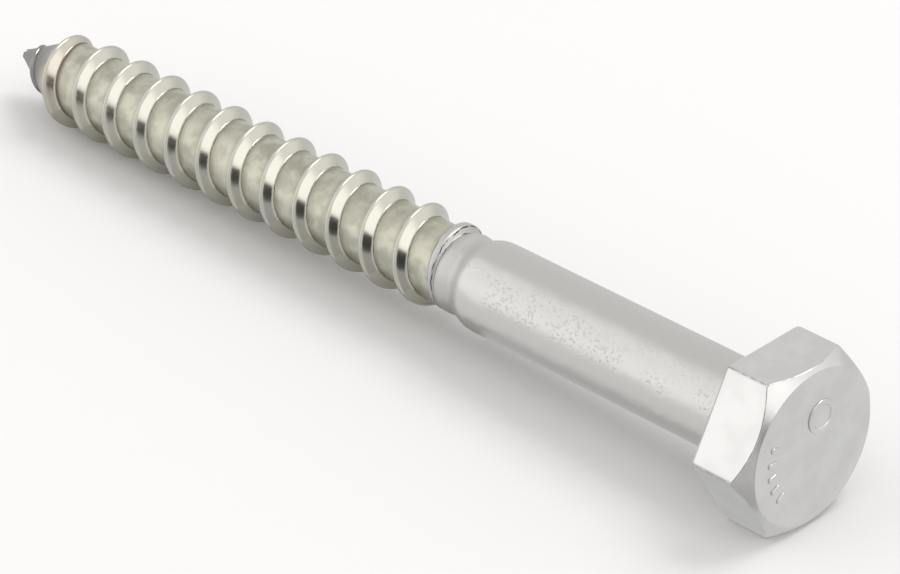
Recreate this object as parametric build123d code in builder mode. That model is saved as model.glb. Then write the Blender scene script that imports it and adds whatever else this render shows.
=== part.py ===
from build123d import *

import os
from math import asin, atan2, cos, degrees, hypot, radians, tan

os.makedirs("parts", exist_ok=True)

# A hexagon-head lag screw, nominal size 8 x 80, with a right-hand wood thread.
# It is formed upright: axis on Z, head up, bearing face at Z = 0 and one flat of
# the head facing +X. The finished screw is then laid down on that flat.

# Head
head_sides = 6
across_flats = 12.75
head_height = 4.95
head_face_share = 0.95
head_chamfer_angle = 41.0
head_corner_radius = 0.5
head_rim_radius = 0.45

# Shank, its rounded end, and the neck that leads to the thread
screw_length = 80.0
shank_diameter = 7.2
shank_length = 26.3
under_head_flare = 0.3
shoulder_length = 1.65
shoulder_radius = 1.0
neck_diameter = 6.3
neck_length = 1.4
neck_taper_length = 0.6

# Wood thread: a narrow crest between steep flanks on a wide plain root
thread_diameter = 7.6
root_diameter = 5.9
thread_pitch = 3.66
crest_width = 0.25
flank_angle = 34.5
ridge_rise_length = 2.95

# Run-out: the crest drops a little towards the neck, then the ridge sinks into it
run_out_turns = 0.87
run_out_crest_drop = 0.37
sink_turns = 0.3

# Gimlet point: the crest and the core narrow to the tip on two cones
point_crest_length = 6.1
point_core_length = 5.4
point_tip_radius = 0.35
point_tip_rounding = 0.175
point_ridge_end_radius = 0.55
point_ridge_end_depth = 0.35
point_ridge_end_crest = 0.15

# Turns of the ridge from its last crossing of the lowest line to the start of its taper
point_phase_turns = 0.404

# How far the foot of a ridge reaches into the core
ridge_root_depth = 0.3

shank_radius = shank_diameter / 2
neck_radius = neck_diameter / 2
root_radius = root_diameter / 2
crest_radius = thread_diameter / 2
ridge_depth = crest_radius - root_radius + ridge_root_depth
flank_slope = tan(radians(flank_angle))
neck_start = shank_length + shoulder_length
neck_end = neck_start + neck_length
core_start = neck_end + neck_taper_length
core_end = screw_length - point_core_length
full_ridge_start = core_start + ridge_rise_length
point_start = screw_length - point_crest_length
full_ridge_length = point_start - full_ridge_start
full_ridge_turns = full_ridge_length / thread_pitch


def ridge_section(crest, top_width, depth):
    """Section of the ridge in the plane through the axis and a point of the crest."""
    outwards = Vector(crest.X, crest.Y, 0).normalized()
    sideways = Vector(0, 0, 1).cross(outwards)
    half_foot = top_width / 2 + depth * flank_slope
    with BuildSketch(Plane(origin=crest, x_dir=outwards, z_dir=sideways)) as section:
        with BuildLine():
            Polyline(
                (0, top_width / 2),
                (0, -top_width / 2),
                (-depth, -half_foot),
                (-depth, half_foot),
                close=True,
            )
        make_face()
    return section.sketch


# Blank: the turned form of shank, shoulder, neck, core and point
with BuildPart() as blank:
    with BuildSketch(Plane.XZ) as blank_profile:
        with BuildLine():
            Polyline(
                (0, 0),
                (shank_radius + under_head_flare, 0),
                (shank_radius, -under_head_flare),
                (shank_radius, -shank_length),
                (neck_radius, -neck_start),
                (neck_radius, -neck_end),
                (root_radius, -core_start),
                (root_radius, -core_end),
                (point_tip_radius, -screw_length),
                (0, -screw_length),
                close=True,
            )
        make_face()
        corners = blank_profile.vertices()
        fillet(corners.sort_by_distance((shank_radius, -shank_length))[0], shoulder_radius)
        fillet(corners.sort_by_distance((point_tip_radius, -screw_length))[0], point_tip_rounding)
    revolve(axis=Axis.Z)

# Ridge at full height
with BuildPart() as full_ridge:
    with BuildLine(mode=Mode.PRIVATE) as full_path:
        Helix(thread_pitch, full_ridge_length, crest_radius)
    sweep(
        ridge_section(full_path.line @ 0, crest_width, ridge_depth),
        path=full_path.line,
        is_frenet=True,
    )

# Ridge of the run-out, its crest dropping towards the neck
run_out_length = run_out_turns * thread_pitch
run_out_radius = crest_radius - run_out_crest_drop
run_out_cone = degrees(atan2(run_out_crest_drop, run_out_length))

with BuildPart() as run_out_ridge:
    with BuildLine(mode=Mode.PRIVATE) as run_out_path:
        Helix(
            thread_pitch / cos(radians(run_out_cone)),
            run_out_length,
            crest_radius,
            cone_angle=-run_out_cone,
        )
    run_out_sections = [
        ridge_section(run_out_path.line @ 0, crest_width, ridge_depth),
        ridge_section(run_out_path.line @ 1, crest_width, ridge_depth),
    ]
    sweep(run_out_sections, path=run_out_path.line, is_frenet=True, multisection=True)

# End of the ridge, sinking into the neck
sink_length = sink_turns * thread_pitch
sink_cone = degrees(atan2(run_out_radius - neck_radius + ridge_root_depth, sink_length))

with BuildPart() as sinking_ridge:
    with BuildLine(mode=Mode.PRIVATE) as sinking_path:
        Helix(
            thread_pitch / cos(radians(sink_cone)),
            sink_length,
            run_out_radius,
            cone_angle=-sink_cone,
        )
    sweep(
        ridge_section(sinking_path.line @ 0, crest_width, ridge_depth),
        path=sinking_path.line,
        is_frenet=True,
    )

# Ridge winding down to the tip, drawn upwards here and turned over when it is placed
point_cone = degrees(atan2(crest_radius - point_tip_radius, point_crest_length))
point_ridge_length = (crest_radius - point_ridge_end_radius) / tan(radians(point_cone))

with BuildPart() as point_ridge:
    with BuildLine(mode=Mode.PRIVATE) as point_path:
        Helix(
            thread_pitch / cos(radians(point_cone)),
            point_ridge_length,
            crest_radius,
            cone_angle=-point_cone,
        )
    point_sections = [
        ridge_section(point_path.line @ 0, crest_width, ridge_depth),
        ridge_section(point_path.line @ 1, point_ridge_end_crest, point_ridge_end_depth),
    ]
    sweep(point_sections, path=point_path.line, is_frenet=True, multisection=True)

# The whole screw, upright: a hexagonal prism cut by the chamfering cone, the blank
# under it, and the four lengths of ridge set end to end along the core
half_side_angle = 180 / head_sides
across_corners = across_flats / cos(radians(half_side_angle))
head_face_diameter = across_flats * head_face_share
chamfer_run = (across_corners - head_face_diameter) / 2
chamfer_drop = chamfer_run * tan(radians(head_chamfer_angle))

with BuildPart() as upright:
    with BuildSketch() as hexagon:
        RegularPolygon(across_flats / 2, head_sides, major_radius=False, rotation=half_side_angle)
        fillet(hexagon.vertices(), head_corner_radius)
    extrude(amount=head_height)
    fillet(upright.faces().sort_by(Axis.Z)[0].edges(), head_rim_radius)
    with BuildSketch(Plane.XZ) as chamfer_profile:
        with BuildLine():
            Polyline(
                (0, 0),
                (across_corners / 2, 0),
                (across_corners / 2, head_height - chamfer_drop),
                (head_face_diameter / 2, head_height),
                (0, head_height),
                close=True,
            )
        make_face()
    revolve(axis=Axis.Z, mode=Mode.INTERSECT)
    add(blank.part)
    with Locations(Location((0, 0, -point_start), (0, 0, -360 * point_phase_turns))):
        add(full_ridge.part)
        add(point_ridge.part, rotation=(180, 0, 0))
    run_out_turn = full_ridge_turns - point_phase_turns
    with Locations(Location((0, 0, -full_ridge_start), (0, 0, 360 * run_out_turn))):
        add(run_out_ridge.part)
    sink_start = full_ridge_start - run_out_length
    sink_turn = run_out_turn + run_out_turns
    with Locations(Location((0, 0, -sink_start), (0, 0, 360 * sink_turn))):
        add(sinking_ridge.part)

# At rest the screw touches the ground along the rim of the lowest flat and at the
# last full crossing of the ridge under it, so its axis dips towards the tip.
rest_reach = point_start - point_phase_turns * thread_pitch + crest_width / 2 + head_rim_radius
rest_drop = across_flats / 2 - head_rim_radius - crest_radius
rest_angle = atan2(rest_drop, rest_reach) + asin(head_rim_radius / hypot(rest_drop, rest_reach))

with BuildPart() as lag_screw:
    add(upright.part, rotation=(0, 90 - degrees(rest_angle), 0))

lag_screw.part.label = "lag_screw"
export_step(lag_screw.part, "parts/lag_screw.step")
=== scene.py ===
import logging
from collections.abc import Callable
from dataclasses import dataclass, field
from enum import Enum
from functools import partial
from math import ceil, cos, pi, radians, sin, tan

import bpy
import numpy as np
from bpy.types import Material, NodeSocket, NodeTree, Object
from mathutils import Matrix, Vector
from numpy import ndarray


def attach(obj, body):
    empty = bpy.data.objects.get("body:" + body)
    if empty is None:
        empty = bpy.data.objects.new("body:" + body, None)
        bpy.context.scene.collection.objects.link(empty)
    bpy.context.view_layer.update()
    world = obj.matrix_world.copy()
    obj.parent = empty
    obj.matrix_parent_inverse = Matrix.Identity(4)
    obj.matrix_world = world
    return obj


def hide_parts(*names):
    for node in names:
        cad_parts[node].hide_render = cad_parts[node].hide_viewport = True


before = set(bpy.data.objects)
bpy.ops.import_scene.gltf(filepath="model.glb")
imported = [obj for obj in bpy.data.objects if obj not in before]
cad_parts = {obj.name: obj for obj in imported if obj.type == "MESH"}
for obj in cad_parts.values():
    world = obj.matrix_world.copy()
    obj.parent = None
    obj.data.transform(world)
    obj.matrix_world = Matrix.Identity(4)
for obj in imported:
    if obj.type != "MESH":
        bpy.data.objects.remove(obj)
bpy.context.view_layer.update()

log = logging.getLogger("lag_screw")

# The screw is formed standing up, in millimetres: axis on Z, head up, bearing face at
# Z = 0 and one flat of the head towards +X. It is then laid down on that flat.
MM = 0.001

# Steps in one turn round the axis, how near two vertices are when they count as one, and
# what a test of a place allows for rounding.
SEGMENTS = 168
WELD = 0.0006
TINY = 1e-4

# One side of the hexagon, in radians round the axis.
SIXTH = pi / 3

# A Mix node's inputs go by number: its share, then two numbers or two colours.
SHARE, NUMBER_A, NUMBER_B, COLOUR_A, COLOUR_B = 0, 2, 3, 6, 7
COLOURS = {"data_type": "RGBA"}
SMOOTH = {"interpolation_type": "SMOOTHSTEP"}
TIMES, PLUS, MINUS, ABSOLUTE, POWER, DOT = (
    {"operation": name}
    for name in ("MULTIPLY", "ADD", "SUBTRACT", "ABSOLUTE", "POWER", "DOT_PRODUCT")
)
# A Map Range node's inputs, in the order in which a table of fades gives them.
SPAN = ("From Min", "From Max", "To Min", "To Max")

Pair = tuple[float, float]
Triple = tuple[float, float, float]
# An adder is add_node() for one tree. The corners of a line have a place and a value each,
# in rising order of place. A ring of the head has a radius and a height in each direction.
Adder = Callable[..., NodeSocket]
Corners = tuple[Pair, ...]
Rings = list[tuple[ndarray, ndarray]]


class Zone(Enum):
    """Values painted on the screw's surface, one a vertex."""

    THREAD = "thread"
    RISE = "rise"
    HEADWARD = "headward"
    LAST_TURN = "last_turn"
    SHANK = "shank"
    NECK = "neck"
    RUBBED = "rubbed"
    HAIRLINE = "hairline"
    POINT = "point"


class Part(Enum):
    """What can be picked on a mesh."""

    EDGE = "edges"
    FACE = "polygons"


def linear(code: str) -> tuple[float, float, float, float]:
    """Turns an sRGB hex colour into linear red, green and blue, with an alpha of 1."""
    parts = (int(code[i : i + 2], 16) / 255 for i in (0, 2, 4))
    return *(c / 12.92 if c <= 0.04045 else ((c + 0.055) / 1.055) ** 2.4 for c in parts), 1.0


def add_node(tree: NodeTree, kind: str, settings: dict, links: dict, output: str = "") -> NodeSocket:
    """Adds one node, sets it up and wires its inputs.

    Args:
        tree: The node tree of a material or of the world.
        kind: Blender's name of the node, after its ShaderNode.
        settings: Node properties by name, and input values by socket name or number.
        links: Output sockets by the name or number of the input they feed.
        output: Name of the output wanted, or nothing for the first in use.

    Returns:
        The wanted output of the new node.
    """
    node = tree.nodes.new("ShaderNode" + kind)
    for name, value in settings.items():
        if isinstance(name, str) and name in node.bl_rna.properties:
            setattr(node, name, value)
        else:
            node.inputs[name].default_value = value
    for name, source in links.items():
        tree.links.new(source, node.inputs[name])
    if output:
        return node.outputs[output]
    return next((socket for socket in node.outputs if socket.enabled), None)


def polar(azimuth: float, elevation: float) -> Vector:
    """Gives the direction at an azimuth, from -Y towards +X, and an elevation, in degrees."""
    around, up = radians(azimuth), radians(elevation)
    return Vector((sin(around) * cos(up), -cos(around) * cos(up), sin(up)))


def draw_profile(name: str, points: list[Pair]) -> Object:
    """Draws a profile in the XZ plane by extruding one point along a chain of others.

    Args:
        name: The piece's name.
        points: Radius and height of each point in turn, in mm.

    Returns:
        The profile.
    """
    bpy.ops.object.select_all(action="DESELECT")
    bpy.ops.mesh.primitive_plane_add(size=1.0)
    piece = bpy.context.object
    piece.name = name
    bpy.ops.object.mode_set(mode="EDIT")
    bpy.ops.mesh.select_mode(type="VERT")
    bpy.ops.mesh.select_all(action="SELECT")
    bpy.ops.mesh.merge(type="CENTER")
    bpy.ops.transform.translate(value=(points[0][0], 0.0, points[0][1]))
    for (r0, z0), (r1, z1) in zip(points, points[1:]):
        step = (r1 - r0, 0.0, z1 - z0)
        bpy.ops.mesh.extrude_region_move(TRANSFORM_OT_translate={"value": step})
    bpy.ops.object.mode_set(mode="OBJECT")
    return piece


def turn(piece: Object, turns: int, rise: float) -> None:
    """Sweeps a profile round Z, straight round or along a helix.

    Args:
        piece: The profile.
        turns: How many times round.
        rise: How far it climbs in one turn, in mm.
    """
    screw = piece.modifiers.new("turn", "SCREW")
    screw.axis = "Z"
    screw.screw_offset = rise
    screw.iterations = turns
    screw.steps = SEGMENTS
    screw.render_steps = SEGMENTS
    bpy.context.view_layer.objects.active = piece
    bpy.ops.object.modifier_apply(modifier=screw.name)


def pick(piece: Object, kind: Part, chosen: Callable[..., bool]) -> None:
    """Opens a mesh in edit mode with only some of its edges or faces selected.

    Args:
        piece: The mesh.
        kind: Which of them are picked.
        chosen: Takes the places of one's corners and says whether it is picked.
    """
    bpy.ops.object.mode_set(mode="EDIT")
    bpy.ops.mesh.select_mode(type=kind.name)
    bpy.ops.mesh.select_all(action="DESELECT")
    bpy.ops.object.mode_set(mode="OBJECT")
    corners = piece.data.vertices
    for part in getattr(piece.data, kind.value):
        part.select = chosen(*(corners[number].co for number in part.vertices))
    bpy.ops.object.mode_set(mode="EDIT")


def bevel_where(piece: Object, chosen: Callable[..., bool], width: float, steps: int) -> None:
    """Bevels the edges that a test picks by the places of their two ends.

    Args:
        piece: The mesh.
        chosen: Takes an edge's two ends and says whether it is bevelled.
        width: Width of the bevel, in mm.
        steps: Segments of the bevel.
    """
    pick(piece, Part.EDGE, chosen)
    bpy.ops.mesh.bevel(offset=width, segments=steps, affect="EDGES")
    bpy.ops.object.mode_set(mode="OBJECT")


def take(pieces: list[Object]) -> None:
    """Selects some pieces and nothing else.

    Args:
        pieces: The pieces. The first becomes the active one.
    """
    bpy.ops.object.select_all(action="DESELECT")
    for piece in pieces:
        piece.select_set(True)
    bpy.context.view_layer.objects.active = pieces[0]


def join(pieces: list[Object]) -> None:
    """Joins pieces into the first of them."""
    take(pieces)
    bpy.ops.object.join()


def places(piece: Object) -> ndarray:
    """Reads a mesh's vertices as rows of x, y and z."""
    return np.array([corner.co[:] for corner in piece.data.vertices])


def put(piece: Object, rows: ndarray) -> None:
    """Moves a mesh's vertices to rows of x, y and z."""
    piece.data.vertices.foreach_set("co", rows.ravel())
    piece.data.update()


def paint(piece: Object, zone: Zone, values: ndarray) -> None:
    """Stores one number a vertex on a mesh."""
    layer = piece.data.attributes.new(zone.value, "FLOAT", "POINT")
    layer.data.foreach_set("value", values.astype(np.float32))


def clean(piece: Object) -> None:
    """Merges doubles, drops faces without area and turns the rest outwards.

    Args:
        piece: The mesh.
    """
    take([piece])
    bpy.ops.object.mode_set(mode="EDIT")
    bpy.ops.mesh.select_all(action="SELECT")
    bpy.ops.mesh.remove_doubles(threshold=WELD)
    bpy.ops.mesh.dissolve_degenerate(threshold=WELD / 4)
    bpy.ops.mesh.select_all(action="SELECT")
    bpy.ops.mesh.normals_make_consistent(inside=False)
    bpy.ops.object.mode_set(mode="OBJECT")


def smooth_min(a: ndarray, b: ndarray, width: float) -> ndarray:
    """Takes the lower of two values, rounded where they are less than a width apart."""
    gap = np.maximum(width - np.abs(a - b), 0.0) / width
    return np.minimum(a, b) - gap * gap * width / 4


def eased(at: ndarray, corners: Corners, blur: float) -> ndarray:
    """Reads a line whose corners are rounded.

    Args:
        at: Where the line is read.
        corners: The line's corners.
        blur: Over what length a corner is rounded, in mm.

    Returns:
        The values read.
    """
    step = 0.01
    stops, values = zip(*corners)
    fine = np.arange(stops[0] - blur, stops[-1] + blur, step)
    window = np.hanning(int(blur / step) | 1)
    raw = np.interp(fine, stops, values)
    reach = len(window) // 2
    padded = np.concatenate([np.full(reach, raw[0]), raw, np.full(reach, raw[-1])])
    return np.interp(at, fine, np.convolve(padded, window / window.sum(), "valid"))


@dataclass
class Shank:
    """The plain shank, its rounded end and the neck that the thread runs out on.

    All places are distances below the bearing face.
    """

    radius: float = 3.6
    head_fillet: float = 0.3
    fillet_steps: int = 5
    plain_rings: tuple[float, ...] = (0.5, 3.0, 8.0, 14.0, 20.0, 25.9)
    end_start: float = 26.0
    end_steps: int = 16
    neck_ring: float = 28.35
    neck_blur: float = 0.35
    neck_span: Corners = ((26.65, 0.0), (27.05, 1.0))
    neck_line: Corners = (
        (26.3, 3.6), (26.75, 3.56), (27.1, 3.46), (27.75, 3.18), (28.1, 3.09),
        (28.5, 3.09), (28.95, 3.18), (29.3, 3.22), (29.55, 3.14), (29.8, 2.98),
    )

    def radius_at(self, along: ndarray) -> ndarray:
        """Gives the shank's or the neck's radius at a distance below the head."""
        return eased(along, self.neck_line, self.neck_blur)

    def profile(self) -> list[Pair]:
        """Gives the profile from the fillet under the head to the ring on the neck.

        Returns:
            Radius and height of each point, from the top down.
        """
        rows = []
        for i in range(self.fillet_steps + 1):
            at = radians(90 + 90 * i / self.fillet_steps)
            out, up = self.head_fillet * cos(at), self.head_fillet * sin(at)
            rows.append((self.radius + self.head_fillet + out, up - self.head_fillet))
        rows += [(self.radius, -at) for at in self.plain_rings]
        for i in range(1, self.end_steps + 1):
            at = self.end_start + (self.neck_ring - self.end_start) * i / self.end_steps
            rows.append((float(self.radius_at(np.array([at]))[0]), -at))
        return rows

    def paint_zones(self, piece: Object, is_head: ndarray) -> None:
        """Marks all of the turned surface but the head as shank, and its end as neck."""
        paint(piece, Zone.SHANK, (~is_head).astype(float))
        paint(piece, Zone.NECK, np.interp(-places(piece)[:, 2], *zip(*self.neck_span)))


@dataclass
class HexHead:
    """A cold-forged hexagon head with a turned chamfer on top and a rounded rim below."""

    across_flats: float = 12.75
    height: float = 4.9495
    face_share: float = 0.95
    chamfer_angle: float = 41.0
    corner_radius: float = 0.502
    least_corner: float = 0.05
    rim_radius: float = 0.45
    face_edge: float = 0.22
    flat_edge: float = 0.14
    bearing_radius: float = 4.1
    # Rings of the mesh, and how far those that hold a form stand off it.
    arc_steps: int = 6
    rim_steps: int = 8
    face_rings: int = 3
    face_reach: float = 0.94
    edge_hold: float = 0.03
    rim_hold: float = 0.12
    under_hold: float = 0.1
    chamfer_hold: float = 0.3
    # The blank's radius, and how far apart in height its rings are.
    blank_radius: float = 9.0
    ring_step: float = 0.1
    # How far along a side, from its middle, its evenly spaced steps are moved.
    crowding: Corners = ((-1.0, -1.0), (-20 / 28, -0.93), (20 / 28, 0.93), (1.0, 1.0))
    # The dark line of painted shade along the sharp edges: its half width, the rings it fades over, and
    # the side it is on.
    hairline: float = 0.05
    ring_fade: float = 1.7
    shaded_side: float = -140.0
    shade_from: float = 0.2
    shade_fade: float = 0.5

    @property
    def apothem(self) -> float:
        """Distance from the axis to a flat."""
        return self.across_flats / 2

    @property
    def face_radius(self) -> float:
        """Radius of the flat face inside the chamfer."""
        return self.apothem * self.face_share

    def blank(self) -> list[Pair]:
        """Gives a round blank, one point a ring: forge() tells the rings apart by their height."""
        rest = range(1, len(self.rings(np.zeros(1))))
        return [(0.0, self.height)] + [(self.blank_radius, self.height - self.ring_step * i) for i in rest]

    def from_middle(self, angle: ndarray) -> ndarray:
        """Gives how far a direction is from the middle of its flat, in radians."""
        return np.abs((angle + SIXTH / 2) % SIXTH - SIXTH / 2)

    def outline(self, angle: ndarray, inset: float) -> ndarray:
        """Gives the radius of the rounded hexagon, drawn in by an inset.

        Args:
            angle: Directions round the axis, in radians from +X.
            inset: How far the outline is drawn in.

        Returns:
            The outline's radius in each direction.
        """
        local = self.from_middle(angle)
        apothem = self.apothem - inset
        corner = max(self.corner_radius - inset, self.least_corner)
        centre = (apothem - corner) / cos(SIXTH / 2)
        off = SIXTH / 2 - local
        rest = np.maximum(corner**2 - (centre * np.sin(off)) ** 2, 0.0)
        round_part = centre * np.cos(off) + np.sqrt(rest)
        flat_part = apothem / np.cos(local)
        tangent = np.arctan2((apothem - corner) * tan(SIXTH / 2), apothem)
        return np.where(local < tangent, flat_part, round_part)

    def spread(self, angle: ndarray) -> ndarray:
        """Crowds evenly spaced directions towards the six corners.

        Args:
            angle: Even directions, in radians from +X.

        Returns:
            The crowded directions.
        """
        side = np.round(angle / SIXTH)
        local = (angle - side * SIXTH) / (SIXTH / 2)
        crowded = np.interp(local, *zip(*self.crowding))
        return side * SIXTH + crowded * SIXTH / 2

    def rings(self, angle: ndarray) -> Rings:
        """Works out radius and height of every ring in each direction.

        Args:
            angle: Directions round the axis, in radians from +X.

        Returns:
            The rings from the middle of the face to the underside.
        """
        side = self.outline(angle, 0.0)
        slope = radians(self.chamfer_angle)
        drop = self.height - (side - self.face_radius) * tan(slope)
        one = np.ones_like(angle)
        rows = []
        for i in range(self.face_rings + 1):
            reach = self.face_reach * self.face_radius * one * i / self.face_rings
            rows.append((reach, self.height * one))
        rows += self.rounded(self.face_radius * one, self.height * one, 0.0, -slope, self.face_edge)
        rows += self.rounded(side, drop, -slope, -pi / 2, self.flat_edge)
        low, high = self.rim_radius + self.rim_hold, drop - self.chamfer_hold
        rows += [(side, high), (side, (low + high) / 2), (side, low * one)]
        for i in range(self.rim_steps + 1):
            at = pi / 2 * i / self.rim_steps
            inset = self.rim_radius * (1 - cos(at))
            rows.append((self.outline(angle, inset), self.rim_radius * (1 - sin(at)) * one))
        # The underside turns from the hexagon to the round bearing of the shank.
        inner = self.outline(angle, self.rim_radius + self.under_hold)
        for share in (0.0, 0.45, 1.0):
            rows.append((inner * (1 - share) + self.bearing_radius * share, 0.0 * one))
        return rows

    def rounded(self, r: ndarray, z: ndarray, before: float, after: float, size: float) -> Rings:
        """Rounds one corner of the profile, with a holding ring on each side.

        Args:
            r: The corner's radius in each direction.
            z: The corner's height in each direction.
            before: Direction of the profile that arrives, in radians.
            after: Direction of the profile that leaves, in radians.
            size: Radius of the rounding.

        Returns:
            The rings along the rounding.
        """
        bend = (before - after) / 2
        hold = size * tan(bend) + self.edge_hold
        middle = (before + after) / 2 - pi / 2
        distance = size / cos(bend)
        centre_r, centre_z = r + distance * cos(middle), z + distance * sin(middle)
        rows = [(r - hold * cos(before), z - hold * sin(before))]
        for i in range(self.arc_steps + 1):
            at = before + pi / 2 - 2 * bend * i / self.arc_steps
            rows.append((centre_r + size * cos(at), centre_z + size * sin(at)))
        rows.append((r + hold * cos(after), z + hold * sin(after)))
        return rows

    def forge(self, piece: Object) -> ndarray:
        """Presses the round blank into the chamfered hexagon and paints its edges.

        Args:
            piece: The turned blank of head and shank.

        Returns:
            True for the vertices of the head.
        """
        rows = places(piece)
        even = np.arctan2(rows[:, 1], rows[:, 0])
        outer = np.hypot(rows[:, 0], rows[:, 1]) > self.blank_radius - self.ring_step
        is_head = outer | (rows[:, 2] > self.height - self.ring_step / 10)
        ring_no = np.rint((self.height - rows[:, 2]) / self.ring_step).astype(int)
        crowded = self.spread(even)
        table = self.rings(crowded)
        last = len(table) - 1
        for number, (r, z) in enumerate(table):
            here = is_head & (ring_no == number)
            # The last rings are evenly spaced again, as the shank's are.
            ease = {last: 1.0, last - 1: 0.5}.get(number, 0.0)
            angle = crowded * (1 - ease) + even * ease
            rows[here] = np.stack([r * np.cos(angle), r * np.sin(angle), z], axis=1)[here]
        put(piece, rows)

        # Each rounding is a run of rings: the face's first, then the flats'.
        run = self.arc_steps + 3
        face_run = self.face_rings + 1
        flat_run = face_run + run
        flats = flat_run + run - 1
        rubbed = is_head & (ring_no > face_run) & (ring_no < flats)
        paint(piece, Zone.RUBBED, rubbed.astype(float))
        # Painted shade: a dark line round the rounding between chamfer and flats and up the side corners,
        # kept to one side of the head.
        middle = flat_run + 1 + self.arc_steps / 2
        around = np.exp(-(((ring_no - middle) / self.ring_fade) ** 2))
        corner = (SIXTH / 2 - self.from_middle(crowded)) * self.apothem / cos(SIXTH / 2)
        on_side = (ring_no >= flats) & (ring_no < last - 2)
        upright = np.exp(-((corner / self.hairline) ** 2)) * on_side
        facing = np.cos(crowded - radians(self.shaded_side))
        one_side = np.clip((facing - self.shade_from) / self.shade_fade, 0, 1)
        line = np.maximum(around, upright) * one_side
        paint(piece, Zone.HAIRLINE, np.where(is_head, line, 0.0))
        return is_head


@dataclass
class ForgedMarks:
    """Low raised marks on the head's face: a dished round boss and five bars on an arc."""

    head: HexHead = field(default_factory=HexHead)
    proud: float = 0.11
    sunk: float = 0.06
    edge: float = 0.07
    edge_steps: int = 4
    boss_at: Pair = (-2.2, 0.8)
    boss_radius: float = 1.35
    boss_sides: int = 72
    dish_width: float = 0.4
    dish_depth: float = 0.07
    bar_arc: float = 4.25
    bar_length: float = 0.95
    bar_width: float = 0.5
    bar_end: float = 0.24
    bar_end_steps: int = 7
    bar_angles: tuple[float, ...] = (-112.0, -97.0, -82.0, -67.0, -52.0)

    @property
    def depth(self) -> float:
        """Height of a mark with its sunken foot."""
        return self.proud + self.sunk

    def boss(self) -> Object:
        """Raises the round boss, its edge bevelled and its middle pressed in.

        Returns:
            The boss.
        """
        bpy.ops.object.select_all(action="DESELECT")
        size = {"radius": self.boss_radius, "depth": self.depth}
        bpy.ops.mesh.primitive_cylinder_add(vertices=self.boss_sides, **size)
        piece = bpy.context.object
        top = self.depth / 2 - TINY
        pick(piece, Part.FACE, lambda *corners: min(corner.z for corner in corners) > top)
        bpy.ops.mesh.inset(thickness=self.dish_width)
        bpy.ops.mesh.inset(thickness=self.dish_depth, depth=-self.dish_depth)
        bpy.ops.object.mode_set(mode="OBJECT")
        rim = self.boss_radius - self.edge / 2
        bevel_where(
            piece, lambda a, b: min(a.z, b.z) > top and a.xy.length > rim, self.edge, self.edge_steps
        )
        self.seat(piece, self.boss_at, 0.0)
        return piece

    def bar(self, angle: float) -> Object:
        """Raises one bar that points away from the middle of the face.

        Args:
            angle: Its direction from the middle of the face, in degrees from +X.

        Returns:
            The bar, with round ends and a bevelled top.
        """
        bpy.ops.object.select_all(action="DESELECT")
        bpy.ops.mesh.primitive_cube_add(size=1.0)
        piece = bpy.context.object
        piece.scale = (self.bar_length, self.bar_width, self.depth)
        bpy.ops.object.transform_apply(scale=True)
        half = self.depth / 2
        bevel_where(piece, lambda a, b: abs(a.z - b.z) > half, self.bar_end, self.bar_end_steps)
        bevel_where(piece, lambda a, b: min(a.z, b.z) > half - TINY, self.edge, self.edge_steps)
        at = radians(angle)
        self.seat(piece, (self.bar_arc * cos(at), self.bar_arc * sin(at)), at)
        return piece

    def seat(self, piece: Object, place: Pair, angle: float) -> None:
        """Sets a mark into the face, its foot below the surface.

        Args:
            piece: The mark, made round the origin.
            place: Where its middle goes on the face.
            angle: How far it is turned, in radians.
        """
        piece.location = (*place, self.head.height + (self.proud - self.sunk) / 2)
        piece.rotation_euler = (0.0, 0.0, angle)
        bpy.ops.object.transform_apply(location=True, rotation=True, scale=True)

    def build(self) -> list[Object]:
        """Raises all the marks."""
        return [self.boss()] + [self.bar(angle) for angle in self.bar_angles]


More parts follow.
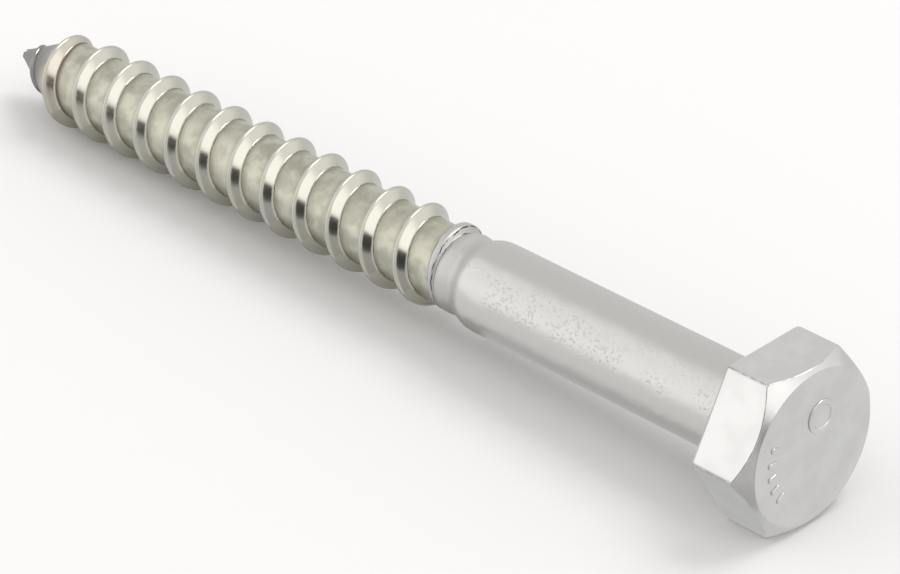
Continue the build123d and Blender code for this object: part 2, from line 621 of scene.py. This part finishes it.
@dataclass
class WoodThread:
    """A coarse right-hand ridge on a plain root, from its run-out to the gimlet point.

    Its lines run by distance below the head: how high and how broad the crest is, and
    where the last turn, bent into a ring round the neck, crosses in place of its helix.
    """

    neck: Shank = field(default_factory=Shank)
    pitch: float = 3.66
    root_radius: float = 2.95
    flank_angle: float = 34.5
    crest_round: float = 0.14
    foot_round: float = 0.09
    lowest_crossing: float = 72.42
    spare_turns: int = 4
    screw_length: float = 80.0
    tip_round: float = 0.24
    core_line: Corners = ((30.0, 2.95), (74.6, 2.95), (80.0, 0.35))
    core_from: float = 30.4
    core_blur: float = 0.3
    crest_blur: float = 0.4
    ring_blur: float = 0.5
    crest_line: Corners = (
        (26.0, 2.0), (28.0, 2.8), (28.8, 3.12), (29.4, 3.24), (30.3, 3.42),
        (31.0, 3.56), (33.4, 3.8), (73.9, 3.8), (80.0, 0.35), (81.5, 0.0),
    )
    crest_breadth: Corners = ((28.8, 0.06), (29.6, 0.16), (30.8, 0.38), (32.2, 0.26), (33.2, 0.11))
    ring_bend: Corners = (
        (25.0, 25.0), (28.0, 28.2), (28.8, 29.72), (29.5, 29.95),
        (30.3, 30.42), (31.2, 31.28), (32.2, 32.22), (90.0, 90.0),
    )
    # Points of the profile from a crest to half way: the knots lie at its bends.
    shares: tuple[float, ...] = (
        0.0, 0.02, 0.04, 0.06, 0.08, 0.14, 0.20, 0.26, 0.28, 0.30, 0.32, 0.34, 0.39, 0.44,
    )
    knots: tuple[float, ...] = (0.0, 0.08, 0.26, 0.34, 0.5)
    # How far a ridge's top and foot are rounded, and the most of a flank that each may take.
    knee: float = 0.11
    heel: float = 0.14
    most_of_flank: float = 0.35
    # Where the rolled surface fades in, where the point is, and where the laps lie.
    rolled_span: Corners = ((30.3, 0.0), (30.8, 1.0))
    point_span: Corners = ((70.0, 0.0), (80.0, 1.0))
    lap_span: Corners = ((28.3, 0.0), (28.7, 1.0), (31.8, 1.0), (32.6, 0.0))
    # A lower ridge than this counts as none, and RISE has this value where there is none.
    least_height: float = 0.006
    no_ridge: float = 3.0

    @property
    def first(self) -> float:
        """Distance below the head at which the wound strip starts, on a crest past the tip."""
        return self.lowest_crossing + self.spare_turns * self.pitch

    @property
    def slope(self) -> float:
        """How far a flank spreads for each unit of its height."""
        return tan(radians(self.flank_angle))

    def crest(self, along: ndarray) -> ndarray:
        """Gives the ridge's crest radius where it crosses a distance below the head."""
        return eased(along, self.crest_line, self.crest_blur)

    def half_crest(self, along: ndarray) -> ndarray:
        """Gives half the width of the crest, which the run-out leaves broad and unfinished."""
        return eased(along, self.crest_breadth, self.crest_blur)

    def root(self, along: ndarray) -> ndarray:
        """Gives the radius of the core, or of the neck before it, at a distance below the head."""
        neck = np.maximum(self.neck.radius_at(along), self.root_radius)
        return np.where(along < self.core_from, neck, eased(along, self.core_line, self.core_blur))

    def settle(self, along: ndarray) -> ndarray:
        """Bends the last turn of the ridge from its helix into a ring round the neck."""
        return eased(along, self.ring_bend, self.ring_blur)

    def foot(self, crossing: ndarray) -> ndarray:
        """Gives how far a ridge's foot lies from its crest, at each crossing."""
        height = self.crest(crossing) - self.root(self.settle(crossing))
        return self.half_crest(crossing) + np.maximum(height, 0.0) * self.slope

    def reach(self, own: ndarray, other: ndarray, part: ndarray) -> ndarray:
        """Gives a point's distance from the nearer crest for its share of the pitch.

        Args:
            own: Where the nearer ridge crosses, below the head.
            other: Where the ridge on the other side crosses.
            part: The point's share of the pitch, 0 on the crest to 0.5 half way.

        Returns:
            The distance along the axis, in mm.
        """
        near_foot, far_foot = self.foot(own), self.foot(other)
        half = self.half_crest(own)
        most = self.most_of_flank * (near_foot - half)
        spacing = np.abs(self.settle(own) - self.settle(other))
        knee = half + np.minimum(self.knee, most)
        heel = near_foot - np.minimum(self.heel, most)
        toe = near_foot + self.heel
        levels = np.stack([0 * own, knee, heel, toe, (spacing + near_foot - far_foot) / 2])
        knots = np.array(self.knots)
        k = np.clip(np.searchsorted(knots, part, side="right") - 1, 0, len(knots) - 2)
        index = np.arange(len(part))
        t = (part - knots[k]) / (knots[k + 1] - knots[k])
        return levels[k, index] * (1 - t) + levels[k + 1, index] * t

    def close_tip(self, radius: ndarray, along: ndarray) -> tuple[ndarray, ndarray]:
        """Closes the tip in a small dome: the distance past its start is run along it.

        Args:
            radius: The surface's radius.
            along: Its distance below the head.

        Returns:
            Both, with the dome in place.
        """
        start = self.screw_length - self.tip_round
        past = np.maximum(along - start, 0.0)
        edge = self.root(np.full(1, start))[0]
        bend = np.minimum(past / self.tip_round, pi / 2)
        flat = np.maximum(past - self.tip_round * pi / 2, 0.0)
        domed = edge - self.tip_round * (1 - np.cos(bend)) - flat
        radius = np.where(past > 0, np.maximum(domed, 0.0), radius)
        return radius, np.where(past > 0, start + self.tip_round * np.sin(bend), along)

    def shape(self, piece: Object) -> None:
        """Moves each vertex of the plain helical strip onto the thread's real surface.

        Args:
            piece: The strip.
        """
        rows = places(piece)
        theta = np.arctan2(rows[:, 1], rows[:, 0]) % (2 * pi)
        theta = np.where(theta > 2 * pi - TINY, 0.0, theta)
        climb = (rows[:, 2] + self.first) / self.pitch - theta / (2 * pi)
        count = np.floor(climb + TINY)
        share = np.clip(climb - count, 0.0, 1.0)
        lower = self.first - self.pitch * (theta / (2 * pi) + count)
        upper = lower - self.pitch
        on_lower = share <= 0.5
        near, far = np.where(on_lower, lower, upper), np.where(on_lower, upper, lower)
        off = self.reach(near, far, np.where(on_lower, share, 1 - share))
        along = self.settle(near) + np.where(on_lower, -off, off)
        crest, root = self.crest(near), self.root(along)
        flank = crest - (off - self.half_crest(near)) / self.slope
        ridge = smooth_min(crest, flank, self.crest_round)
        # Turned over, the lower value is the higher one.
        radius = -smooth_min(-ridge, -root, self.foot_round)
        # Beyond the neck's ring everything gathers on that ring.
        ring = self.neck.neck_ring
        radius = np.where(along < ring, self.neck.radius_at(np.full(1, ring))[0], radius)
        radius, depth = self.close_tip(radius, np.maximum(along, ring))
        put(piece, np.stack([radius * np.cos(theta), radius * np.sin(theta), -depth], axis=1))

        # RISE is 0 on the crest's middle, 1 at the ridge's foot and more on the root.
        is_ridge = crest - root > self.least_height
        paint(piece, Zone.RISE, np.where(is_ridge, off / self.foot(near), self.no_ridge))
        paint(piece, Zone.HEADWARD, on_lower.astype(float))
        paint(piece, Zone.THREAD, np.interp(along, *zip(*self.rolled_span)))
        paint(piece, Zone.POINT, np.interp(along, *zip(*self.point_span)))
        paint(piece, Zone.LAST_TURN, np.interp(near, *zip(*self.lap_span)))
        for zone in (Zone.SHANK, Zone.NECK):
            paint(piece, zone, np.ones(len(along)))

    def build(self) -> Object:
        """Winds the ridge's profile into a helix and shapes it to the screw.

        Returns:
            The thread, open only at the ring where it meets the neck.
        """
        shares = [*self.shares, 0.5] + [1 - share for share in reversed(self.shares)]
        points = [(self.root_radius, share * self.pitch - self.first) for share in shares]
        piece = draw_profile("wood_thread", points)
        turn(piece, ceil((self.first - self.neck.neck_ring) / self.pitch), self.pitch)
        self.shape(piece)
        clean(piece)
        return piece


@dataclass
class LagScrew:
    """The whole screw, one piece of steel."""

    head: HexHead = field(default_factory=HexHead)
    marks: ForgedMarks = field(default_factory=ForgedMarks)
    shank: Shank = field(default_factory=Shank)
    thread: WoodThread = field(default_factory=WoodThread)
    rest_angle: float = 2.0205
    sharp_angle: float = 42.0

    def build(self) -> Object:
        """Builds head and shank, winds the thread, joins all and lays the screw down.

        Returns:
            The finished mesh in metres, in the frame of the CAD.
        """
        body = draw_profile("screw", self.head.blank() + self.shank.profile())
        turn(body, 1, 0.0)
        is_head = self.head.forge(body)
        self.shank.paint_zones(body, is_head)
        clean(body)
        log.info("head and shank: %d faces", len(body.data.polygons))
        thread = self.thread.build()
        log.info("thread: %d faces", len(thread.data.polygons))
        join([body, thread])
        clean(body)
        marks = self.marks.build()
        log.info("raised marks: %d", len(marks))
        join([body] + marks)
        body.rotation_euler = (0.0, radians(90 - self.rest_angle), 0.0)
        body.scale = (MM, MM, MM)
        bpy.ops.object.transform_apply(location=True, rotation=True, scale=True)
        bpy.ops.object.shade_smooth_by_angle(angle=radians(self.sharp_angle))
        return body


@dataclass(frozen=True)
class Surface:
    """The sockets that one way of working the steel gives: colour, roughness and relief."""

    colour: NodeSocket
    roughness: NodeSocket
    relief: NodeSocket


@dataclass(frozen=True)
class TumbledSatin:
    """Cold-headed steel after tumbling: an even pale satin, faintly clouded and pitted.

    The eye gets soft broad reflections on head and shank, a little sharper where the
    edges are rubbed, and a fine dark line of painted shade along the head's sharp edges, on one side.
    """

    pale: str = "CECDCB"
    dull: str = "C8C7C5"
    drawn: str = "BEBDBA"
    turned: str = "B9B8B4"
    edge_shade_and_pit_stain: str = "7F7B73"
    head_roughness: float = 0.24
    shank_roughness: float = 0.29
    neck_roughness: float = 0.46
    rubbed_roughness: float = 0.25
    head_lumps: float = 1.0
    shank_lumps: float = 6.0
    cloud_mm: float = 2.2
    speck_mm: float = 0.7
    pit_mm: float = 0.26
    cluster_mm: float = 3.4
    scratch_mm: float = 0.2
    scratch_length: Triple = (7, 5, 1)
    pitted_side: Triple = (-0.02, -0.819, 0.573)
    pit_stain: float = 0.05

    def lay(self, node: Adder, mm: NodeSocket) -> Surface:
        """Adds the satin's nodes.

        Args:
            node: Adds a node to the material.
            mm: The place on the screw, in millimetres.

        Returns:
            Its surface.
        """
        shank, neck, rubbed, hairline = (
            node("Attribute", {"attribute_name": zone.value}, {}, "Fac")
            for zone in (Zone.SHANK, Zone.NECK, Zone.RUBBED, Zone.HAIRLINE)
        )
        sizes = ((self.cloud_mm, 3.0), (self.speck_mm, 2.0), (self.pit_mm, 2.0), (self.cluster_mm, 1.0))
        cloud, specks, pits, clusters = (
            node("TexNoise", {"Scale": 1 / size, "Detail": detail}, {"Vector": mm})
            for size, detail in sizes
        )
        out = node("VectorMath", DOT | {1: self.pitted_side}, {0: mm})
        stretched = {"operation": "DIVIDE", 1: self.scratch_length}
        stretched = node("VectorMath", stretched, {0: mm})
        scratches = node("TexNoise", {"Scale": 1 / self.scratch_mm}, {"Vector": stretched})
        # The painted shade line comes and goes along an edge. Pits lie in clusters along one side of
        # the shank. Fine scratches run along and across the head's flats.
        fades = (
            (cloud, 0.35, 0.65),
            (specks, 0.35, 0.6, 0.25),
            (pits, 0.54, 0.7),
            (clusters, 0.35, 0.6, 0.0, 1.5),
            (out, 3.2, 3.5),
            (scratches, 0.64, 0.72, 0.0, 0.06),
        )
        masks = (node("MapRange", SMOOTH | dict(zip(SPAN, span)), {0: at}) for at, *span in fades)
        cloudy, broken, pitted, clustered, one_side, scratched = masks
        for part in (clustered, one_side, shank):
            pitted = node("Math", TIMES, {0: pitted, 1: part})
        stained = node("Math", TIMES | {1: self.pit_stain}, {0: pitted})
        # Painted shade: the dark line along the head's sharp edges, broken up by specks.
        line = node("Math", TIMES, {0: hairline, 1: broken})

        shades = COLOURS | {COLOUR_A: linear(self.dull), COLOUR_B: linear(self.pale)}
        colour = node("Mix", shades, {SHARE: cloudy})
        # The edge line's coat is painted shade. The pits' coat is a stain.
        coats = (
            (shank, self.drawn), (neck, self.turned), (line, self.edge_shade_and_pit_stain), (stained, self.edge_shade_and_pit_stain)
        )
        for mask, code in coats:
            over = COLOURS | {COLOUR_B: linear(code)}
            colour = node("Mix", over, {SHARE: mask, COLOUR_A: colour})
        levels = {NUMBER_A: self.head_roughness, NUMBER_B: self.shank_roughness}
        roughness = node("Mix", levels, {SHARE: shank})
        for mask, level in ((neck, self.neck_roughness), (rubbed, self.rubbed_roughness)):
            links = {SHARE: mask, NUMBER_A: roughness}
            roughness = node("Mix", {NUMBER_B: level}, links)
        # The drawn shank is a little lumpier than the pressed head.
        lumps = {NUMBER_A: self.head_lumps, NUMBER_B: self.shank_lumps}
        lumps = node("Mix", lumps, {SHARE: shank})
        lumps = node("Math", TIMES, {0: cloud, 1: lumps})
        relief = node("Math", PLUS, {0: pitted, 1: scratched})
        relief = node("Math", PLUS, {0: relief, 1: lumps})
        return Surface(colour, roughness, relief)


@dataclass(frozen=True)
class RolledThread:
    """Thread rolled in flat dies: burnished flanks on a matt, mottled root.

    The eye gets hard reflections on the flanks, a soft worn crest, and a warm grey root
    that painted shade darkens towards each ridge, with a fine dark line of painted shade
    at its foot. Where the ridge runs out, the steel is folded over itself in thin dark laps.
    """

    flank: str = "C4C2B6"
    crest: str = "BAB8AD"
    root_dark: str = "A3A294"
    root_pale: str = "BAB8A9"
    root_warm: str = "B9B1A3"
    # Painted shade: the root's corners beside a ridge, and the fine line at its foot.
    shade: str = "8C897B"
    line: str = "4A4638"
    lap: str = "34322D"
    blush: str = "BDB2A6"
    stain: str = "6B5D4E"
    scuff: str = "858381"
    flank_roughness: float = 0.15
    crest_roughness: float = 0.3
    root_roughness: float = 0.38
    mottle_mm: float = 1.3
    grit_mm: float = 0.28
    warmth_mm: float = 3.1
    tear_mm: float = 1.1
    torn_mm: float = 0.9
    line_rise: float = 1.05
    # Each lap: 1 on the headward side of its ridge and 0 on the other, and its rise.
    lap_places: tuple[Pair, ...] = ((0.0, 0.8), (0.0, 1.05), (1.0, 0.6), (1.0, 1.08))

    def lay(self, node: Adder, mm: NodeSocket) -> Surface:
        """Adds the rolled surface's nodes.

        Args:
            node: Adds a node to the material.
            mm: The place on the screw, in millimetres.

        Returns:
            Its surface.
        """
        rise, point = (
            node("Attribute", {"attribute_name": zone.value}, {}, "Fac")
            for zone in (Zone.RISE, Zone.POINT)
        )
        mottle, grit, warmth = (
            node("TexNoise", {"Scale": 1 / size, "Detail": detail}, {"Vector": mm})
            for size, detail in ((self.mottle_mm, 4.0), (self.grit_mm, 2.0), (self.warmth_mm, 2.0))
        )
        # The painted shade line in the crease at the ridge's foot wanders a little and is stronger in some
        # places.
        stray = SMOOTH | dict(zip(SPAN, (0.3, 0.7, -0.04, 0.04)))
        stray = node("MapRange", stray, {0: grit})
        wandering = node("Math", PLUS, {0: rise, 1: stray})
        away = node("Math", MINUS | {1: self.line_rise}, {0: wandering})
        away = node("Math", ABSOLUTE, {0: away})
        # The root gets painted shade in the corners beside a ridge.
        # The point is scuffed dull and dark, after one warm turn with a brown stain behind it.
        fades = (
            (mottle, 0.36, 0.62),
            (warmth, 0.5, 0.66, 0.0, 0.3),
            (rise, 1.9, 1.0, 0.0, 0.4),
            (rise, 0.99, 0.9),
            (rise, 0.32, 0.14),
            (away, 0.1, 0.0),
            (mottle, 0.3, 0.65, 0.35, 0.9),
            (point, 0.15, 0.25),
            (wandering, 1.75, 1.02, 0.0, 0.8),
            (point, 0.22, 0.3, 0.0, 0.45),
            (point, 0.45, 0.62, 0.0, 0.9),
        )
        masks = (node("MapRange", SMOOTH | dict(zip(SPAN, span)), {0: at}) for at, *span in fades)
        mottled, warm, corner, on_ridge, on_crest, line, strength, *rest = masks
        last_turns, behind, blushed, scuffed = rest
        off_ridge = node("Math", MINUS | {0: 1.0}, {1: on_ridge})
        line = node("Math", TIMES, {0: line, 1: strength})
        stained = node("Math", TIMES, {0: last_turns, 1: behind})
        stained = node("Math", TIMES, {0: stained, 1: off_ridge})
        blushed = node("Math", TIMES, {0: blushed, 1: on_ridge})

        shades = COLOURS | {COLOUR_A: linear(self.root_dark), COLOUR_B: linear(self.root_pale)}
        colour = node("Mix", shades, {SHARE: mottled})
        # The corner coat and the foot line's coat are painted shade.
        coats = (
            (warm, self.root_warm),
            (corner, self.shade),
            (on_ridge, self.flank),
            (on_crest, self.crest),
            (line, self.line),
            (stained, self.stain),
            (blushed, self.blush),
            (scuffed, self.scuff),
        )
        for mask, code in coats:
            over = COLOURS | {COLOUR_B: linear(code)}
            colour = node("Mix", over, {SHARE: mask, COLOUR_A: colour})
        levels = {NUMBER_A: self.root_roughness, NUMBER_B: self.flank_roughness}
        roughness = node("Mix", levels, {SHARE: on_ridge})
        links = {SHARE: on_crest, NUMBER_A: roughness}
        roughness = node("Mix", {NUMBER_B: self.crest_roughness}, links)
        grain, calm = (node("Math", TIMES | {1: 0.5}, {0: noise}) for noise in (grit, mottle))
        relief = node("Math", PLUS, {0: mottle, 1: grain})
        relief = node("Mix", {}, {SHARE: on_ridge, NUMBER_A: relief, NUMBER_B: calm})
        return Surface(colour, roughness, relief)

    def laps(self, node: Adder, mm: NodeSocket) -> NodeSocket:
        """Masks the thin torn folds beside the last turn of the ridge.

        Args:
            node: Adds a node to the material.
            mm: The place on the screw, in millimetres.

        Returns:
            1 inside a fold, 0 elsewhere.
        """
        rise, headward, last_turn = (
            node("Attribute", {"attribute_name": zone.value}, {}, "Fac")
            for zone in (Zone.RISE, Zone.HEADWARD, Zone.LAST_TURN)
        )
        tear, patches = (
            node("TexNoise", {"Scale": 1 / size, "Detail": 2.0}, {"Vector": mm})
            for size in (self.tear_mm, self.torn_mm)
        )
        stray = node("MapRange", dict(zip(SPAN, (0.25, 0.75, -0.16, 0.16))), {0: tear})
        wandering = node("Math", PLUS, {0: rise, 1: stray})
        thin = SMOOTH | dict(zip(SPAN, (0.09, 0.02)))
        folds = []
        for side, place in self.lap_places:
            same = node("Math", {"operation": "COMPARE", 1: side, 2: 0.5}, {0: headward})
            away = node("Math", MINUS | {1: place}, {0: wandering})
            away = node("Math", ABSOLUTE, {0: away})
            fold = node("MapRange", thin, {0: away})
            folds.append(node("Math", TIMES, {0: fold, 1: same}))
        found = folds[0]
        for fold in folds[1:]:
            found = node("Math", {"operation": "MAXIMUM"}, {0: found, 1: fold})
        torn = node("MapRange", SMOOTH | dict(zip(SPAN, (0.38, 0.55))), {0: patches})
        for mask in (torn, last_turn):
            found = node("Math", TIMES, {0: found, 1: mask})
        return found


@dataclass(frozen=True)
class StainlessSteel:
    """A2 stainless steel, tumbled satin on head and shank, as rolled on the thread."""

    satin: TumbledSatin = TumbledSatin()
    rolled: RolledThread = RolledThread()
    relief_mm: float = 0.016
    lap_depth: float = 1.2

    def make(self) -> Material:
        """Builds the material.

        Returns:
            The finished material.
        """
        material = bpy.data.materials.new("stainless_steel_a2")
        material.use_nodes = True
        tree = material.node_tree
        shader = tree.nodes["Principled BSDF"]
        shader.inputs["Metallic"].default_value = 1.0
        node = partial(add_node, tree)
        place = node("TexCoord", {}, {}, "Object")
        mm = node("VectorMath", {"operation": "SCALE", "Scale": 1 / MM}, {0: place})
        satin, rolled = self.satin.lay(node, mm), self.rolled.lay(node, mm)
        thread = node("Attribute", {"attribute_name": Zone.THREAD.value}, {}, "Fac")
        lap = self.rolled.laps(node, mm)
        both = {SHARE: thread, COLOUR_A: satin.colour, COLOUR_B: rolled.colour}
        colour = node("Mix", COLOURS, both)
        dark = COLOURS | {COLOUR_B: linear(self.rolled.lap)}
        colour = node("Mix", dark, {SHARE: lap, COLOUR_A: colour})
        roughness, relief = (
            node("Mix", {}, {SHARE: thread, NUMBER_A: first, NUMBER_B: second})
            for first, second in ((satin.roughness, rolled.roughness), (satin.relief, rolled.relief))
        )
        torn = node("Math", TIMES | {1: self.lap_depth}, {0: lap})
        relief = node("Math", MINUS, {0: relief, 1: torn})
        bump = {"Strength": 1.0, "Distance": self.relief_mm * MM}
        normal = node("Bump", bump, {"Height": relief})
        for socket, source in (("Base Color", colour), ("Roughness", roughness), ("Normal", normal)):
            tree.links.new(source, shader.inputs[socket])
        return material


@dataclass(frozen=True)
class LightPatch:
    """A bright or dark panel of the studio, seen from the screw in one direction."""

    azimuth: float
    elevation: float
    half_width: float
    half_height: float
    level: float
    edge: float

    def mask(self, node: Adder, ray: NodeSocket) -> NodeSocket:
        """Masks the panel's directions, with a soft edge.

        Args:
            node: Adds a node to the world.
            ray: The direction that is looked in.

        Returns:
            1 inside the panel, 0 outside.
        """
        ahead = polar(self.azimuth, self.elevation)
        across = polar(self.azimuth + 90, 0)
        upwards = polar(self.azimuth, self.elevation + 90)
        # The fourth powers make a panel with rounded corners of what would be an oval.
        powers = []
        for axis, size in ((across, self.half_width), (upwards, self.half_height)):
            scaled = DOT | {1: axis / sin(radians(size))}
            part = node("VectorMath", scaled, {0: ray})
            part = node("Math", ABSOLUTE, {0: part})
            powers.append(node("Math", POWER | {1: 4.0}, {0: part}))
        far = node("Math", PLUS, {0: powers[0], 1: powers[1]})
        far = node("Math", POWER | {1: 0.25}, {0: far})
        fade = SMOOTH | dict(zip(SPAN, (1 + self.edge, 1 - self.edge)))
        panel = node("MapRange", fade, {0: far})
        front = node("VectorMath", DOT | {1: ahead}, {0: ray})
        front = node("Math", {"operation": "GREATER_THAN", 1: 0.0}, {0: front})
        return node("Math", TIMES, {0: panel, 1: front})


@dataclass
class Studio:
    """A pale floor, a soft dome of light with panels, a key light and the camera."""

    floor_level: float = -6.3555
    floor_size: float = 3000.0
    strip_length: float = 54.0
    strip_width: float = 10.0
    strip_middle: float = -54.0
    strip_lift: float = 0.01
    board: str = "DAD9D8"
    # The mirrored strip's board is darker than the floor: painted shade.
    shaded_board: str = "CDCCCA"
    board_roughness: float = 0.9
    board_specular: float = 0.2
    dome: float = 0.95
    below: float = 0.86
    horizon: float = 0.1
    camera_at: Triple = (166.0, -195.14, 176.33)
    aim: Triple = (-0.596475, 0.591006, -0.543075)
    side: Triple = (0.70445, 0.709752, -0.001325)
    focal_px: float = 4412.84
    image_width: int = 900
    sensor_width: float = 36.0
    nearest: float = 0.01
    farthest: float = 20.0
    key_from: Pair = (165.0, 60.0)
    key_distance: float = 1.2
    key_size: float = 0.6
    key_watts: float = 5.0
    patches: tuple[LightPatch, ...] = (
        LightPatch(-88, -62, 42, 20, 0.69, 0.5),
        LightPatch(-44, -26, 28, 20, 1.08, 0.5),
        LightPatch(-48, 25, 30, 30.5, 1.56, 0.25),
        LightPatch(5, 62, 40, 20, 1.25, 0.5),
        LightPatch(135, -33, 30, 16, 0.97, 0.5),
        LightPatch(138, 18, 22, 20, 1.2, 0.4),
        LightPatch(97, 27, 22, 17, 1.72, 0.4),
        LightPatch(66, -30, 7, 30, 0.46, 0.4),
        LightPatch(73.5, 11, 6.5, 8, 0.02, 0.25),
        LightPatch(68.5, 3, 6, 9.5, 0.02, 0.25),
    )

    def build(self) -> None:
        """Sets up floor, light and camera."""
        self.lay_floor()
        self.light_dome()
        self.hang_key()
        self.place_camera()

    def lay_board(
        self, name: str, size: Pair, at: Pair, colour: str
    ) -> Object:
        """Lays one flat sheet of matt board.

        Args:
            name: Name of the sheet.
            size: Length and width of the sheet, in millimetres.
            at: Middle of the sheet along X, and its height, in millimetres.
            colour: sRGB hex colour of the board.

        Returns:
            The sheet.
        """
        board = bpy.data.materials.new(f"matt_board_of_{name}")
        board.use_nodes = True
        shader = board.node_tree.nodes["Principled BSDF"]
        shader.inputs["Base Color"].default_value = linear(colour)
        shader.inputs["Roughness"].default_value = self.board_roughness
        shader.inputs["Specular IOR Level"].default_value = self.board_specular
        bpy.ops.object.select_all(action="DESELECT")
        bpy.ops.mesh.primitive_plane_add(size=1.0)
        sheet = bpy.context.object
        sheet.name = name
        sheet.scale = (size[0] * MM, size[1] * MM, 1.0)
        sheet.location = (at[0] * MM, 0.0, at[1] * MM)
        bpy.ops.object.transform_apply(location=True, scale=True)
        sheet.data.materials.append(board)
        return sheet

    def lay_floor(self) -> None:
        """Lays the pale floor that the screw rests on.

        The steel mirrors the lower half of the dome in place of the floor, as it would in
        a light tent. Only the strip under the thread, in the screw's own shade, is mirrored,
        and its board is painted darker than the floor as added shade.
        """
        size = (self.floor_size, self.floor_size)
        floor = self.lay_board("studio_floor", size, (0.0, self.floor_level), self.board)
        floor.visible_glossy = False
        size = (self.strip_length, self.strip_width)
        at = (self.strip_middle, self.floor_level + self.strip_lift)
        # Its darker board is painted shade, seen only in the steel's reflections.
        strip = self.lay_board("mirrored_floor_strip", size, at, self.shaded_board)
        strip.visible_camera = False
        strip.visible_diffuse = False
        strip.visible_shadow = False

    def light_dome(self) -> None:
        """Paints the dome of light by direction: above, below, then panel by panel."""
        world = bpy.data.worlds.new("soft_dome")
        bpy.context.scene.world = world
        world.use_nodes = True
        tree = world.node_tree
        tree.nodes.clear()
        node = partial(add_node, tree)
        ray = node("TexCoord", {}, {}, "Generated")
        up = node("VectorMath", DOT | {1: (0, 0, 1)}, {0: ray})
        halves = dict(zip(SPAN, (-self.horizon, self.horizon, self.below, self.dome)))
        level = node("MapRange", SMOOTH | halves, {0: up})
        for patch in self.patches:
            share = patch.mask(node, ray)
            level = node("Mix", {NUMBER_B: patch.level}, {SHARE: share, NUMBER_A: level})
        back = node("Background", {}, {"Color": level})
        node("OutputWorld", {}, {"Surface": back})

    def hang_key(self) -> None:
        """Hangs the key light behind the screw, high enough to stay out of its reflections."""
        at = polar(*self.key_from) * self.key_distance
        bpy.ops.object.light_add(type="AREA", location=at)
        key = bpy.context.object
        key.name = "key_softbox"
        key.rotation_euler = at.to_track_quat("Z", "Y").to_euler()
        key.data.size = self.key_size
        key.data.energy = self.key_watts

    def place_camera(self) -> None:
        """Puts the camera where the photograph was taken from."""
        lens = bpy.data.cameras.new("camera")
        camera = bpy.data.objects.new("camera", lens)
        bpy.context.scene.collection.objects.link(camera)
        ahead = Vector(self.aim).normalized()
        side = Vector(self.side).normalized()
        above = side.cross(ahead).normalized()
        turned = Matrix((side, above, -ahead)).transposed().to_4x4()
        camera.matrix_world = Matrix.Translation(Vector(self.camera_at) * MM) @ turned
        lens.sensor_width = self.sensor_width
        lens.lens = self.focal_px / self.image_width * self.sensor_width
        lens.clip_start = self.nearest
        lens.clip_end = self.farthest
        bpy.context.scene.camera = camera
        bpy.context.scene.view_settings.view_transform = "Standard"


def main() -> None:
    logging.basicConfig(level=logging.INFO, format="%(name)s: %(message)s")
    screw = LagScrew().build()
    screw.data.materials.clear()
    screw.data.materials.append(StainlessSteel().make())
    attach(screw, "root")
    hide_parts("lag_screw")
    log.info("screw: %d faces", len(screw.data.polygons))
    Studio().build()
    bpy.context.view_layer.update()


if __name__ == "__main__":
    main()
